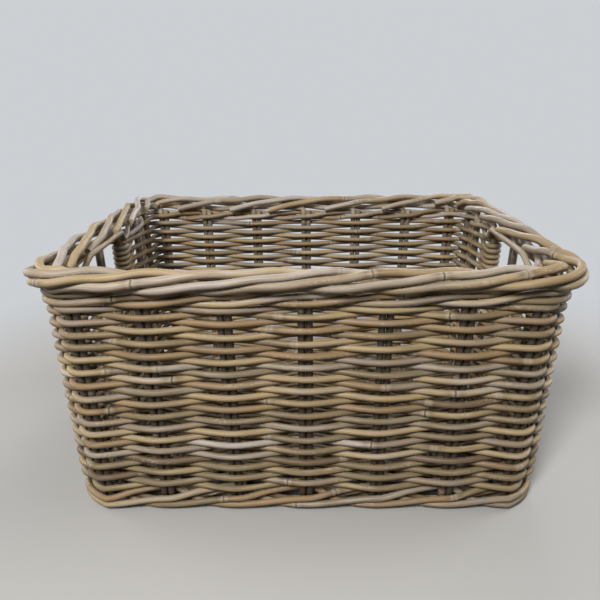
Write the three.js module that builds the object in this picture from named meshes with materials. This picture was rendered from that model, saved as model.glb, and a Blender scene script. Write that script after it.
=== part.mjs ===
import * as THREE from 'three';

// Shelf basket woven from round rattan canes. All lengths are in millimetres.
// The front wall faces -Y, the long walls run along X and +Z is up.

// Cane diameters
const STAKE_DIAMETER = 6.6;
const WEAVER_DIAMETER = 5.9;
const WALE_DIAMETER = 6.2;
const BASE_WEAVER_DIAMETER = 4;

// Gaps between canes that lie against each other
const CLEARANCE = 0.35;
const COURSE_GAP = 0.4;
const WALE_ROD_GAP = 0.77;
const HOLE_ROD_GAP = 2.2;
const BUTT_GAP = 2;

// How the stakes stand round the basket
const LONG_WALL_PAIR_COUNT = 5;
const SHORT_WALL_PAIR_COUNT = 4;
const LONG_WALL_SPACING = 68.6;
const SHORT_WALL_SPACING = 69.4;
const LONG_CORNER_SPACING = 60.4;
const SHORT_CORNER_SPACING = 46.9;
const CORNER_INSET = 21;
const WALL_LEAN = 0.034;
const STAKE_BEND_RADIUS = 5;

// Rows of weaving
const FULL_COURSE_COUNT = 25;
const HOLE_COURSE_COUNT = 6;
const COURSE_CORNER_CUT = 8;
const WALE_CORNER_CUT = 16;
const HOLE_LIFT = 7.8;

// Rolled border at the rim
const BORDER_STRAND_COUNT = 5;
const BORDER_OVERHANG = 5.5;
const BORDER_START_ANGLE = 225;
const BORDER_PAIR_SPAN = 4.65;
const BORDER_STEP = 0.5;

// Base weaving
const BASE_ROW_PITCH = 17;

// Facets round each kind of cane
const STAKE_SIDE_COUNT = 5;
const WEAVER_SIDE_COUNT = 4;

// Shares of a size
const TOP_WALE_SPREAD = 0.62;
const WALE_PASS_SHARE = 0.1;
const WEAVE_SLOPE = 2.3;
const BORDER_CLOSENESS = 0.88;
const BORDER_FLATNESS = 1.75;
const WRAP_ANGLE = Math.PI / 6;
const STEEP = 0.9;
const BASE_TURN_SLACK = 1.04;
const BASE_TURN_SHARE = 0.2;

// Where a stake bends over into the border, in stake diameters along the rim and below its place there,
// and as a share of the way out
const BORDER_BENDS = [
  { along: 0.1, out: 0.1, below: 0.26 },
  { along: 0.8, out: 0.4, below: 0 },
];

const stakeRadius = STAKE_DIAMETER / 2;
const weaverRadius = WEAVER_DIAMETER / 2;
const waleRadius = WALE_DIAMETER / 2;
const baseWeaverRadius = BASE_WEAVER_DIAMETER / 2;
const pairHalf = stakeRadius + CLEARANCE / 2;

// Heights, stacked from the floor up
const flatOfStake = stakeRadius * Math.cos(Math.PI / STAKE_SIDE_COUNT);
const crossStakeHeight = flatOfStake;
const longStakeHeight = crossStakeHeight + STAKE_DIAMETER + CLEARANCE;
const baseWeaverRise = stakeRadius + baseWeaverRadius + CLEARANCE;
const bottomWaleInside = longStakeHeight + baseWeaverRise + waleRadius + 2 * CLEARANCE;
const bottomWaleLow = longStakeHeight - waleRadius;
const waleStep = WALE_DIAMETER + WALE_ROD_GAP;
const walePass = WALE_PASS_SHARE * waleStep;
const bottomWaleHigh = bottomWaleLow + waleStep;
const coursePitch = WEAVER_DIAMETER + COURSE_GAP;
const firstCourse = bottomWaleInside + waleRadius + weaverRadius + CLEARANCE;
const courseCount = FULL_COURSE_COUNT + HOLE_COURSE_COUNT;
const lastCourse = firstCourse + (courseCount - 1) * coursePitch;
const topWaleHalf = TOP_WALE_SPREAD * WALE_DIAMETER;
const topWaleHeight = lastCourse + weaverRadius + CLEARANCE + waleRadius + topWaleHalf;
const borderTurn = (2 * Math.PI) / BORDER_STRAND_COUNT;
const strandSpacing = (STAKE_DIAMETER + CLEARANCE) / BORDER_CLOSENESS;
const borderHalfHeight = strandSpacing / (2 * Math.sin(borderTurn / 2));
const borderHalfWidth = BORDER_FLATNESS * borderHalfHeight;
const plainStakeTop = topWaleHeight + topWaleHalf + waleRadius;
const borderHeight = plainStakeTop + CLEARANCE + borderHalfHeight + stakeRadius;

// Plan of the stake line at the base
const longReach = ((LONG_WALL_PAIR_COUNT - 1) / 2) * LONG_WALL_SPACING + LONG_CORNER_SPACING;
const shortReach = ((SHORT_WALL_PAIR_COUNT - 1) / 2) * SHORT_WALL_SPACING + SHORT_CORNER_SPACING;
const halfWidth = longReach + CORNER_INSET;
const halfDepth = shortReach + CORNER_INSET;

const right = new THREE.Vector3(1, 0, 0);
const rear = new THREE.Vector3(0, 1, 0);
const left = right.clone().negate();
const front = rear.clone().negate();
const walls = [
  { along: right, out: front, length: halfWidth, distance: halfDepth },
  { along: rear, out: right, length: halfDepth, distance: halfWidth },
  { along: left, out: rear, length: halfWidth, distance: halfDepth },
  { along: front, out: left, length: halfDepth, distance: halfWidth },
];

// Stake pairs in order round the basket, seen from above against the clock.
const pairs = [];
walls.forEach((wall, wallIndex) => {
  const isLong = wallIndex % 2 === 0;
  const count = isLong ? LONG_WALL_PAIR_COUNT : SHORT_WALL_PAIR_COUNT;
  const spacing = isLong ? LONG_WALL_SPACING : SHORT_WALL_SPACING;
  const reach = isLong ? longReach : shortReach;
  pairs.push({ wall, place: -reach, corner: 'leaving' });
  for (let i = 0; i < count; i++) {
    pairs.push({ wall, place: (i - (count - 1) / 2) * spacing, corner: null });
  }
  pairs.push({ wall, place: reach, corner: 'entering' });
});
const pairCount = pairs.length;

function pairAt(index) {
  return pairs[((index % pairCount) + pairCount) % pairCount];
}

function leanAt(height) {
  return WALL_LEAN * (height - longStakeHeight);
}

// A point by a wall: its place along the wall, its distance out from the stake line and its height.
function wallPoint(wall, place, outward, height) {
  const point = wall.along.clone().multiplyScalar(place);
  point.addScaledVector(wall.out, wall.distance + leanAt(height) + outward);
  point.z = height;
  return point;
}

function cornerReach(wall) {
  return wall.length - CORNER_INSET;
}

// The stakes of a wall spread as it leans out, so that the corner pairs lean as far as the wall does.
function placeOf(pair, height) {
  return pair.place * (1 + leanAt(height) / cornerReach(pair.wall));
}

// Sweeps a regular section along straight runs that meet in mitres. The section is set on the run
// that starts at the given point, with one flat side facing down or one edge facing up.
function sweep(points, radius, sides, setRun, flatDown) {
  const directions = [];
  for (let i = 0; i + 1 < points.length; i++) {
    directions.push(points[i + 1].clone().sub(points[i]).normalize());
  }
  const last = directions.length;
  const planes = points.map((point, i) => {
    const before = directions[Math.max(0, i - 1)];
    const after = directions[Math.min(last - 1, i)];
    return before.clone().add(after).normalize();
  });
  const heading = directions[setRun];
  const up = Math.abs(heading.z) > STEEP ? new THREE.Vector3(0, 1, 0) : new THREE.Vector3(0, 0, 1);
  const side = new THREE.Vector3().crossVectors(heading, up).normalize();
  const top = new THREE.Vector3().crossVectors(side, heading).normalize();
  const start = flatDown ? -Math.PI / 2 + Math.PI / sides : Math.PI / 2;
  const section = [];
  for (let k = 0; k < sides; k++) {
    const angle = start + (2 * Math.PI * k) / sides;
    const corner = points[setRun].clone();
    corner.addScaledVector(side, radius * Math.cos(angle));
    corner.addScaledVector(top, radius * Math.sin(angle));
    section.push(corner);
  }
  const moveTo = (ring, i, direction) =>
    ring.map((corner) => {
      const travel = points[i].clone().sub(corner).dot(planes[i]) / direction.dot(planes[i]);
      return corner.clone().addScaledVector(direction, travel);
    });
  const rings = new Array(points.length);
  rings[setRun] = moveTo(section, setRun, heading);
  for (let i = setRun + 1; i < points.length; i++) {
    rings[i] = moveTo(rings[i - 1], i, directions[i - 1]);
  }
  for (let i = setRun - 1; i >= 0; i--) {
    rings[i] = moveTo(rings[i + 1], i, directions[i]);
  }
  const positions = [];
  rings.forEach((ring) => ring.forEach((corner) => positions.push(corner.x, corner.y, corner.z)));
  const faces = [];
  for (let i = 0; i + 1 < rings.length; i++) {
    for (let k = 0; k < sides; k++) {
      const a = i * sides + k;
      const b = i * sides + ((k + 1) % sides);
      faces.push(a, b + sides, b, a, a + sides, b + sides);
    }
  }
  const end = (rings.length - 1) * sides;
  for (let k = 1; k + 1 < sides; k++) {
    faces.push(0, k, k + 1);
    faces.push(end, end + k + 1, end + k);
  }
  const geometry = new THREE.BufferGeometry();
  geometry.setAttribute('position', new THREE.Float32BufferAttribute(positions, 3));
  geometry.setIndex(faces);
  geometry.computeVertexNormals();
  return geometry;
}

const basket = new THREE.Group();
basket.name = 'shelf_basket';

function addCane(name, points, radius, sides, color, setRun = 0, flatDown = false) {
  const material = new THREE.MeshStandardMaterial({ color, roughness: 0.7, metalness: 0 });
  const cane = new THREE.Mesh(sweep(points, radius, sides, setRun, flatDown), material);
  cane.name = name;
  basket.add(cane);
}

// The edge of a pair that a cane has passed before it turns a corner or leaves one.
const pairEdge = pairHalf + stakeRadius / 2;

// How far a cane's middle line lies from the stake line where it runs along the wall past a pair.
function flatOut(radius) {
  return stakeRadius + radius + CLEARANCE;
}

// The same where the cane bends at the pair and slopes to the other side of the next pair.
function bentOut(radius, run, pairReach = pairHalf) {
  const slope = (WEAVE_SLOPE * flatOut(radius)) / run;
  return flatOut(radius) * Math.hypot(1, slope) + slope * pairReach;
}

// The shortest run from a pair to a bend at the next pair on its wall.
function runBeside(index) {
  const pair = pairAt(index);
  const runs = [pairAt(index - 1), pairAt(index + 1)].map((next) => {
    const run = Math.abs(next.place - pair.place);
    return next.corner ? run - pairEdge : run;
  });
  return Math.min(...runs);
}

// Where a cane turns a corner: it keeps its distance from both walls and cuts the corner a little.
function cornerTurn(wallA, wallB, outA, outB, height, cut) {
  const lean = leanAt(height);
  const placeA = cornerReach(wallA) + lean - pairEdge;
  const placeB = -(cornerReach(wallB) + lean - pairEdge);
  const turnA = wallA.length + lean + outB - cut;
  const turnB = -(wallB.length + lean + outA - cut);
  return [
    wallPoint(wallA, placeA, outA, height),
    wallPoint(wallA, turnA, outA, height),
    wallPoint(wallB, turnB, outB, height),
    wallPoint(wallB, placeB, outB, height),
  ];
}

// Which side of a pair a row passes: 1 outside, -1 inside.
function sideOf(index, course) {
  return (index + course) % 2 === 1 ? 1 : -1;
}

// One row of plain weave from one pair to another, outside at every second pair.
function coursePoints(fromPair, toPair, course) {
  const height = firstCourse + (course - 1) * coursePitch;
  const points = [];
  for (let i = fromPair; i <= toPair; i++) {
    const pair = pairAt(i);
    const outward = sideOf(i, course);
    if (pair.corner === 'entering') {
      const next = pairAt(i + 1);
      const out = outward * flatOut(weaverRadius);
      points.push(...cornerTurn(pair.wall, next.wall, out, -out, height, COURSE_CORNER_CUT));
      i += 1;
    } else {
      const out = outward * bentOut(weaverRadius, runBeside(i));
      points.push(wallPoint(pair.wall, placeOf(pair, height), out, height));
    }
  }
  return points;
}

// Full courses start and end behind the middle pair of the back wall or the pair beside it.
const backWallFirst = LONG_WALL_PAIR_COUNT + SHORT_WALL_PAIR_COUNT + 4;
const backMiddle = backWallFirst + 1 + Math.floor(LONG_WALL_PAIR_COUNT / 2);
const courseColors = [0xa98f6b, 0x9a8262, 0xb39a74, 0x8f7a5f];
for (let course = 1; course <= FULL_COURSE_COUNT; course++) {
  const insideAtMiddle = sideOf(backMiddle, course) < 0;
  const start = insideAtMiddle ? backMiddle : backMiddle + 1;
  const points = coursePoints(start, start + pairCount, course);
  const first = points[0].clone().lerp(points[1], BUTT_GAP / 2 / points[0].distanceTo(points[1]));
  const finish = points[points.length - 1];
  const previous = points[points.length - 2];
  points[0] = first;
  points[points.length - 1] = finish
    .clone()
    .lerp(previous, BUTT_GAP / 2 / finish.distanceTo(previous));
  const color = courseColors[course % courseColors.length];
  const name = `course_${String(course).padStart(2, '0')}`;
  addCane(name, points, weaverRadius, WEAVER_SIDE_COUNT, color);
}

// Hand-hole weavers run to and fro. At the edge of a hole they go round the stake pair, back through the
// weave and round it once more, so that every row shows as a wrap on the edge.
const turnReach = (stakeRadius + weaverRadius + CLEARANCE) / Math.cos(WRAP_ANGLE);
function halfTurn(index, toward, outward, lower, upper) {
  const pair = pairAt(index);
  const wall = pair.wall;
  const out = outward * bentOut(weaverRadius, runBeside(index), 2 * pairHalf);
  const far = toward * (pairHalf + turnReach * Math.cos(WRAP_ANGLE));
  const near = outward * turnReach * Math.sin(WRAP_ANGLE);
  const edge = toward * pairHalf;
  return [
    wallPoint(wall, placeOf(pair, lower) + edge, out, lower),
    wallPoint(wall, placeOf(pair, lower) + far, near, lower),
    wallPoint(wall, placeOf(pair, upper) + far, -near, upper),
    wallPoint(wall, placeOf(pair, upper) + edge, -out, upper),
  ];
}

function holeWeaver(name, fromPair, toPair, color) {
  const heightOf = (course) => firstCourse + (course - 1) * coursePitch;
  const firstRow = FULL_COURSE_COUNT + 1;
  const startSide = sideOf(fromPair, firstRow);
  const points = halfTurn(fromPair, -1, -startSide, heightOf(firstRow), heightOf(firstRow));
  for (let course = firstRow; course <= courseCount; course++) {
    const lower = heightOf(course);
    const upper = lower + coursePitch;
    const forward = (course - firstRow) % 2 === 0;
    const endPair = forward ? toPair : fromPair;
    const toward = forward ? 1 : -1;
    const side = sideOf(endPair, course);
    const run = coursePoints(fromPair, toPair, course).slice(1, -1);
    points.push(...(forward ? run : run.reverse()));
    points.push(...halfTurn(endPair, toward, side, lower, lower));
    if (course < courseCount) {
      points.push(...halfTurn(endPair, -toward, -side, lower, upper));
      points.push(...halfTurn(endPair, toward, side, upper, upper));
    }
  }
  addCane(name, points, weaverRadius, WEAVER_SIDE_COUNT, color);
}
const rightWallFirst = LONG_WALL_PAIR_COUNT + 2;
const leftWallFirst = 2 * LONG_WALL_PAIR_COUNT + SHORT_WALL_PAIR_COUNT + 6;
const leftWallLast = pairCount - 1;
holeWeaver('front_hole_weaver', leftWallLast - 1, pairCount + rightWallFirst + 1, 0xa58b68);
holeWeaver('rear_hole_weaver', rightWallFirst + 3, leftWallFirst + 2, 0x9c8565);

// The wales take each corner, with its two pairs, as one place. The top wale also takes each hand hole as
// one place, with the pair in the middle of it and the pairs at its edges.
const holeMiddles = [rightWallFirst + 2, leftWallFirst + 3];
function walePlaces(passesHoles) {
  const places = [];
  for (let i = 0; i < pairCount; i++) {
    const pastHoleEdge = holeMiddles.includes(i) || holeMiddles.includes(i - 1);
    if (pairAt(i).corner !== 'leaving' && !(passesHoles && pastHoleEdge)) {
      places.push(i);
    }
  }
  return places;
}

// A three-rod wale: each rod passes two places outside, rising, and one inside, falling back. Over a hand
// hole the rods lie side by side close under the border, so that the hole stays high.
function waleRod(phase, places, levels) {
  const start = places.indexOf(backMiddle);
  const points = [];
  for (let step = 0; step <= places.length; step++) {
    const index = places[(start + step) % places.length];
    const pair = pairAt(index);
    const beat = (step + phase) % 3;
    const side = beat === 2 ? -1 : 1;
    const height = [levels.low, levels.high, levels.inside][beat];
    let last = pair;
    if (pair.corner === 'entering') {
      const out = side * flatOut(waleRadius);
      const cut = side > 0 ? WALE_CORNER_CUT : COURSE_CORNER_CUT / 2;
      last = pairAt(index + 1);
      points.push(...cornerTurn(pair.wall, last.wall, out, out, height, cut));
    } else {
      const out = side * bentOut(waleRadius, runBeside(index));
      points.push(wallPoint(pair.wall, placeOf(pair, height), out, height));
      if (levels.overHole && holeMiddles.includes(index + 1)) {
        const middle = pairAt(index + 1);
        const raised = levels.overHole[beat];
        const beside = beat === 0 ? WALE_DIAMETER + HOLE_ROD_GAP : 0;
        last = pairAt(index + 2);
        points.push(wallPoint(pair.wall, placeOf(middle, raised), out + beside, raised));
        points.push(wallPoint(pair.wall, placeOf(last, height), out, height));
      }
    }
    if (step === places.length) {
      break;
    }
    const next = pairAt(places[(start + step + 1) % places.length]);
    const halfway = (placeOf(last, height) + placeOf(next, height)) / 2;
    if (beat === 1) {
      points.push(wallPoint(last.wall, halfway, 0, levels.goingIn));
    } else if (beat === 2) {
      points.push(wallPoint(last.wall, halfway, 0, levels.comingOut));
    }
  }
  return points;
}

function addWale(name, levels, color) {
  const places = walePlaces(Boolean(levels.overHole));
  for (let rod = 0; rod < 3; rod++) {
    const points = waleRod(rod, places, levels);
    const finish = points.length - 1;
    const head = points[0].distanceTo(points[1]);
    const tail = points[finish].distanceTo(points[finish - 1]);
    points[0] = points[0].clone().lerp(points[1], BUTT_GAP / 2 / head);
    points[finish] = points[finish].clone().lerp(points[finish - 1], BUTT_GAP / 2 / tail);
    addCane(`${name}_rod_${rod + 1}`, points, waleRadius, WEAVER_SIDE_COUNT, color);
  }
}

addWale(
  'bottom_wale',
  {
    low: bottomWaleLow,
    high: bottomWaleHigh,
    goingIn: bottomWaleInside - walePass,
    inside: bottomWaleInside,
    comingOut: bottomWaleLow - walePass,
  },
  0x94805f,
);
addWale(
  'top_wale',
  {
    low: topWaleHeight - topWaleHalf,
    high: topWaleHeight + topWaleHalf,
    goingIn: topWaleHeight + topWaleHalf,
    inside: topWaleHeight,
    comingOut: topWaleHeight - topWaleHalf,
    overHole: [topWaleHeight + topWaleHalf, topWaleHeight + topWaleHalf, topWaleHeight + HOLE_LIFT],
  },
  0xab9069,
);

// How far out from the stake line and how high the border's strands lie at an angle round its middle line.
function borderOut(angle) {
  return BORDER_OVERHANG + borderHalfWidth * Math.cos(angle);
}

function borderLevel(angle) {
  return borderHeight + borderHalfHeight * Math.sin(angle);
}

// A point of the rim: how far along the run of pairs, and the angle round the border's middle line.
function rimPoint(run, angle) {
  const index = Math.floor(run);
  const share = run - index;
  const pair = pairAt(index);
  const next = pairAt(index + 1);
  const outward = borderOut(angle);
  const height = borderLevel(angle);
  if (pair.corner !== 'entering') {
    const place = THREE.MathUtils.lerp(
      placeOf(pair, borderHeight),
      placeOf(next, borderHeight),
      share,
    );
    return wallPoint(pair.wall, place, outward, height);
  }
  const turn = (share * Math.PI) / 2;
  const middle = wallPoint(pair.wall, placeOf(pair, borderHeight), -CORNER_INSET, height);
  const direction = pair.wall.out.clone().multiplyScalar(Math.cos(turn));
  direction.addScaledVector(next.wall.out, Math.sin(turn));
  return middle.addScaledVector(direction, CORNER_INSET + outward);
}

// The part of a stake above the wale: it leans out, lies down along the rim and rolls over the border.
function borderTail(index, place) {
  const pair = pairAt(index);
  const startAngle = THREE.MathUtils.degToRad(BORDER_START_ANGLE);
  const firstAngle = startAngle + BORDER_STEP * borderTurn;
  const points = [wallPoint(pair.wall, place, 0, plainStakeTop - waleRadius)];
  for (const bend of BORDER_BENDS) {
    const bendPlace = place + bend.along * STAKE_DIAMETER;
    const height = borderLevel(firstAngle) - bend.below * STAKE_DIAMETER;
    points.push(wallPoint(pair.wall, bendPlace, bend.out * borderOut(firstAngle), height));
  }
  for (let run = BORDER_STEP; run < BORDER_PAIR_SPAN; run += BORDER_STEP) {
    points.push(rimPoint(index + run, startAngle + run * borderTurn));
  }
  points.push(rimPoint(index + BORDER_PAIR_SPAN, startAngle + BORDER_PAIR_SPAN * borderTurn));
  return points;
}

// One leg of a stake, from the bend at the base up to its top.
function stakeLeg(index, baseHeight, rolls) {
  const pair = pairAt(index);
  const shift = rolls ? pairHalf : -pairHalf;
  const bend = STAKE_BEND_RADIUS;
  const low = placeOf(pair, longStakeHeight) + shift;
  const points = [
    wallPoint(pair.wall, low, -bend - leanAt(baseHeight), baseHeight),
    wallPoint(pair.wall, low, 0, baseHeight + bend),
  ];
  if (rolls) {
    points.push(...borderTail(index, placeOf(pair, topWaleHeight) + shift));
  } else {
    points.push(wallPoint(pair.wall, placeOf(pair, plainStakeTop) + shift, 0, plainStakeTop));
  }
  return points;
}

// Each stake is one cane: up one wall, across the base and up the opposite wall. In each pair one cane
// ends under the border and the other rolls over into it, and on the opposite wall they change over.
function addStake(name, rolledEnd, plainEnd, baseHeight, color) {
  const rolledLeg = stakeLeg(rolledEnd, baseHeight, true).reverse();
  const plainLeg = stakeLeg(plainEnd, baseHeight, false);
  const points = [...rolledLeg, ...plainLeg];
  addCane(name, points, stakeRadius, STAKE_SIDE_COUNT, color, rolledLeg.length - 1, true);
}

for (let i = 0; i < LONG_WALL_PAIR_COUNT + 2; i++) {
  const opposite = backWallFirst + LONG_WALL_PAIR_COUNT + 1 - i;
  addStake(`long_stake_${i + 1}_front_rolled`, i, opposite, longStakeHeight, 0xb09670);
  addStake(`long_stake_${i + 1}_rear_rolled`, opposite, i, longStakeHeight, 0xa68c66);
}
for (let i = 0; i < SHORT_WALL_PAIR_COUNT + 2; i++) {
  const index = rightWallFirst + i;
  const opposite = leftWallFirst + SHORT_WALL_PAIR_COUNT + 1 - i;
  addStake(`cross_stake_${i + 1}_right_rolled`, index, opposite, crossStakeHeight, 0xb09670);
  addStake(`cross_stake_${i + 1}_left_rolled`, opposite, index, crossStakeHeight, 0xa68c66);
}

// Base weaver: to and fro across the base, over and under the stakes that run from front to back.
function baseWeaverPoints() {
  const columns = [];
  for (let i = 0; i < LONG_WALL_PAIR_COUNT + 2; i++) {
    columns.push(pairs[i].place);
  }
  const crossings = [];
  for (let i = 0; i < SHORT_WALL_PAIR_COUNT + 2; i++) {
    crossings.push(pairs[rightWallFirst + i].place);
  }
  const rows = [];
  for (let bay = 0; bay + 1 < crossings.length; bay++) {
    const open = crossings[bay] + 2 * pairHalf;
    const room = crossings[bay + 1] - 2 * pairHalf - open;
    const count = Math.max(1, Math.floor(room / BASE_ROW_PITCH));
    for (let k = 0; k < count; k++) {
      rows.push(open + ((k + 0.5) * room) / count);
    }
  }
  const rise = bentOut(baseWeaverRadius, LONG_CORNER_SPACING);
  const endRise = bentOut(baseWeaverRadius, LONG_CORNER_SPACING, 2 * pairHalf);
  const reach = BASE_TURN_SLACK * flatOut(baseWeaverRadius);
  const shoulder = reach * Math.tan(WRAP_ANGLE);
  const points = [];
  rows.forEach((y, row) => {
    const toRight = row % 2 === 0;
    const order = toRight ? columns : [...columns].reverse();
    const overAt = (k) => ((row + (toRight ? k : order.length - 1 - k)) % 2 === 0 ? 1 : -1);
    order.forEach((x, k) => {
      const atEnd = k === 0 || k === order.length - 1;
      const column = atEnd ? x + Math.sign(x) * pairHalf : x;
      const level = longStakeHeight + overAt(k) * (atEnd ? endRise : rise);
      points.push(new THREE.Vector3(column, y, level));
    });
    if (row + 1 < rows.length) {
      const end = order[order.length - 1];
      const turn = end + Math.sign(end) * (pairHalf + reach);
      const side = overAt(order.length - 1) * shoulder;
      const step = BASE_TURN_SHARE * (rows[row + 1] - y);
      points.push(new THREE.Vector3(turn, y, longStakeHeight + side));
      points.push(new THREE.Vector3(turn, y + step, longStakeHeight));
      points.push(new THREE.Vector3(turn, rows[row + 1] - step, longStakeHeight));
      points.push(new THREE.Vector3(turn, rows[row + 1], longStakeHeight - side));
    }
  });
  return points;
}
addCane('base_weaver', baseWeaverPoints(), baseWeaverRadius, WEAVER_SIDE_COUNT, 0x8d795b);

export default basket;
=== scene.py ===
# %% [markdown]
# # A shelf basket woven from rattan
#
# The basket is an open box of round canes. Pairs of upright stakes stand in a ring, thinner canes are
# woven in and out between them, three canes are twisted round the foot and the top of the wall, and the
# stakes themselves are rolled over into a thick border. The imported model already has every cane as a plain
# faceted solid. Here each one becomes a round, slightly uneven cane with knots, fibres and weathering.

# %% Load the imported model
import math
import random

import bpy
from mathutils import Matrix, Vector


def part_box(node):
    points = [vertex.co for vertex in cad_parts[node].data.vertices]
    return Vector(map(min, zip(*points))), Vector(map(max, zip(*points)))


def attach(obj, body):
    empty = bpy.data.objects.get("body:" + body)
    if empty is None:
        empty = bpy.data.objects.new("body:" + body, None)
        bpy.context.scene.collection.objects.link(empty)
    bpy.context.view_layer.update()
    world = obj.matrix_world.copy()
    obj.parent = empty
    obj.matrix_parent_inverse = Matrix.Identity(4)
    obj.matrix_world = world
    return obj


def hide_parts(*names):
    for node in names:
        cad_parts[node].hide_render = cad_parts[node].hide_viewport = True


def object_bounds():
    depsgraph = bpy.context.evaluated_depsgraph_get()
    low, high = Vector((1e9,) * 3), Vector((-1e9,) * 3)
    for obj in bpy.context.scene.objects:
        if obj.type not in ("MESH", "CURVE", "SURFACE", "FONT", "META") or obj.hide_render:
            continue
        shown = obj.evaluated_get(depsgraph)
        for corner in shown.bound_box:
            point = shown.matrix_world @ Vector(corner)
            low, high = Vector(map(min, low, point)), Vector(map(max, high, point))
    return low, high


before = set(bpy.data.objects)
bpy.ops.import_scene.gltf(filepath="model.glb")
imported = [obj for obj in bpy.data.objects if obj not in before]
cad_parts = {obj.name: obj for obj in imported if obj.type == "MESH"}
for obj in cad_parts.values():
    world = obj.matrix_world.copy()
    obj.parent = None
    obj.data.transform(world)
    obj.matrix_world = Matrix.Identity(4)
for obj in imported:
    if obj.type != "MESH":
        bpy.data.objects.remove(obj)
cad_low, cad_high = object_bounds()
print("packed nodes:", len(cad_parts))
print("packed box in metres:", tuple(cad_low), tuple(cad_high))

# %% [markdown]
# ## The camera
#
# The photograph was taken from a little above the rim, looking down into the basket. A wide lens close to
# the object makes the front wall look much larger than the back wall, so the lens and the distance matter
# more than the framing. Both were worked out from where the stakes stand in the picture.

# %% Camera
PICTURE_SIDE = 600
FOCAL_PIXELS = 590
SENSOR_WIDTH = 36.0
CLIP_START = 0.01
CAMERA_PLACE = Vector((0.0028, -0.6602, 0.3907))
CAMERA_PITCH = math.radians(19.46)
CAMERA_YAW = math.radians(0.86)
CAMERA_ROLL = math.radians(-0.55)

camera_data = bpy.data.cameras.new("camera")
camera_data.sensor_width = SENSOR_WIDTH
camera_data.lens = SENSOR_WIDTH * FOCAL_PIXELS / PICTURE_SIDE
camera_data.clip_start = CLIP_START
camera = bpy.data.objects.new("camera", camera_data)
tilt = Matrix.Rotation(math.pi / 2 - CAMERA_PITCH, 4, "X")
aim = Matrix.Rotation(CAMERA_YAW, 4, "Z") @ tilt @ Matrix.Rotation(CAMERA_ROLL, 4, "Z")
camera.matrix_world = Matrix.Translation(CAMERA_PLACE) @ aim
bpy.context.scene.collection.objects.link(camera)
bpy.context.scene.camera = camera
print("lens in millimetres:", round(camera_data.lens, 1))

# %% [markdown]
# ## The ring of stakes
#
# Everything on this basket is placed by the stakes. Twenty-six pairs stand round the ring, so a place on
# the wall is simply a count of pairs: run 3.5 is halfway between pair 3 and pair 4. One function turns a
# run, a distance outwards and a height into a point, and follows the round corners by itself. The long walls
# have settled a little between the corners, which the same function allows for. The sizes are the driving
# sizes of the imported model, in metres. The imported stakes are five-sided and rest on a flat side, which sets
# how high the lowest ones lie.

# %% Sizes of the weave
STAKE_RADIUS = 0.0033
WEAVER_RADIUS = 0.00295
WALE_RADIUS = 0.0031
BASE_WEAVER_RADIUS = 0.0020
CLEARANCE = 0.00035
LONG_WALL_PAIRS = 5
SHORT_WALL_PAIRS = 4
LONG_WALL_SPACING = 0.0686
SHORT_WALL_SPACING = 0.0694
LONG_CORNER_SPACING = 0.0604
SHORT_CORNER_SPACING = 0.0469
CORNER_INSET = 0.021
WALL_LEAN = 0.034
STAKE_FACETS = 5

pair_half = STAKE_RADIUS + CLEARANCE / 2
cross_stake_height = STAKE_RADIUS * math.cos(math.pi / STAKE_FACETS)
long_stake_height = cross_stake_height + 2 * STAKE_RADIUS + CLEARANCE
long_reach = (LONG_WALL_PAIRS - 1) / 2 * LONG_WALL_SPACING + LONG_CORNER_SPACING
short_reach = (SHORT_WALL_PAIRS - 1) / 2 * SHORT_WALL_SPACING + SHORT_CORNER_SPACING
print("corner pairs from the middle in metres:", round(long_reach, 4), round(short_reach, 4))


# %% Walls and pairs
class Wall:
    def __init__(self, along, out, reach, distance):
        self.along = Vector(along)
        self.out = Vector(out)
        self.reach = reach
        self.distance = distance


class Pair:
    def __init__(self, wall, place, corner):
        self.wall = wall
        self.place = place
        self.corner = corner


front = Wall((1, 0, 0), (0, -1, 0), long_reach, short_reach + CORNER_INSET)
right = Wall((0, 1, 0), (1, 0, 0), short_reach, long_reach + CORNER_INSET)
rear = Wall((-1, 0, 0), (0, 1, 0), long_reach, short_reach + CORNER_INSET)
left = Wall((0, -1, 0), (-1, 0, 0), short_reach, long_reach + CORNER_INSET)
long_walls = (front, rear)

pairs = []
for wall in (front, right, rear, left):
    count = LONG_WALL_PAIRS if wall in long_walls else SHORT_WALL_PAIRS
    spacing = LONG_WALL_SPACING if wall in long_walls else SHORT_WALL_SPACING
    pairs.append(Pair(wall, -wall.reach, "leaving"))
    for step in range(count):
        pairs.append(Pair(wall, (step - (count - 1) / 2) * spacing, None))
    pairs.append(Pair(wall, wall.reach, "entering"))
pair_count = len(pairs)
RIGHT_FIRST = LONG_WALL_PAIRS + 2
REAR_FIRST = RIGHT_FIRST + SHORT_WALL_PAIRS + 2
LEFT_FIRST = REAR_FIRST + LONG_WALL_PAIRS + 2
REAR_MIDDLE = REAR_FIRST + 1 + LONG_WALL_PAIRS // 2
print("stake pairs:", pair_count)

# %% Points on the wall
LONG_WALL_SAG = 0.0024
SAG_FROM_CORNER = 0.045


def smooth(share):
    share = min(1.0, max(0.0, share))
    return share * share * (3 - 2 * share)


def pair_at(index):
    return pairs[index % pair_count]


def lean_at(height):
    return WALL_LEAN * (height - long_stake_height)


def sag_at(wall, place, height):
    if wall not in long_walls:
        return 0.0
    from_corner = wall.reach - abs(place)
    return LONG_WALL_SAG * smooth(from_corner / SAG_FROM_CORNER) * (height / cad_high.z) ** 2


def wall_point(wall, place, outward, height):
    point = wall.along * place + wall.out * (wall.distance + lean_at(height) + outward)
    point.z = height - sag_at(wall, place, height)
    return point


def place_of(pair, height):
    return pair.place * (1 + lean_at(height) / pair.wall.reach)


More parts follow.
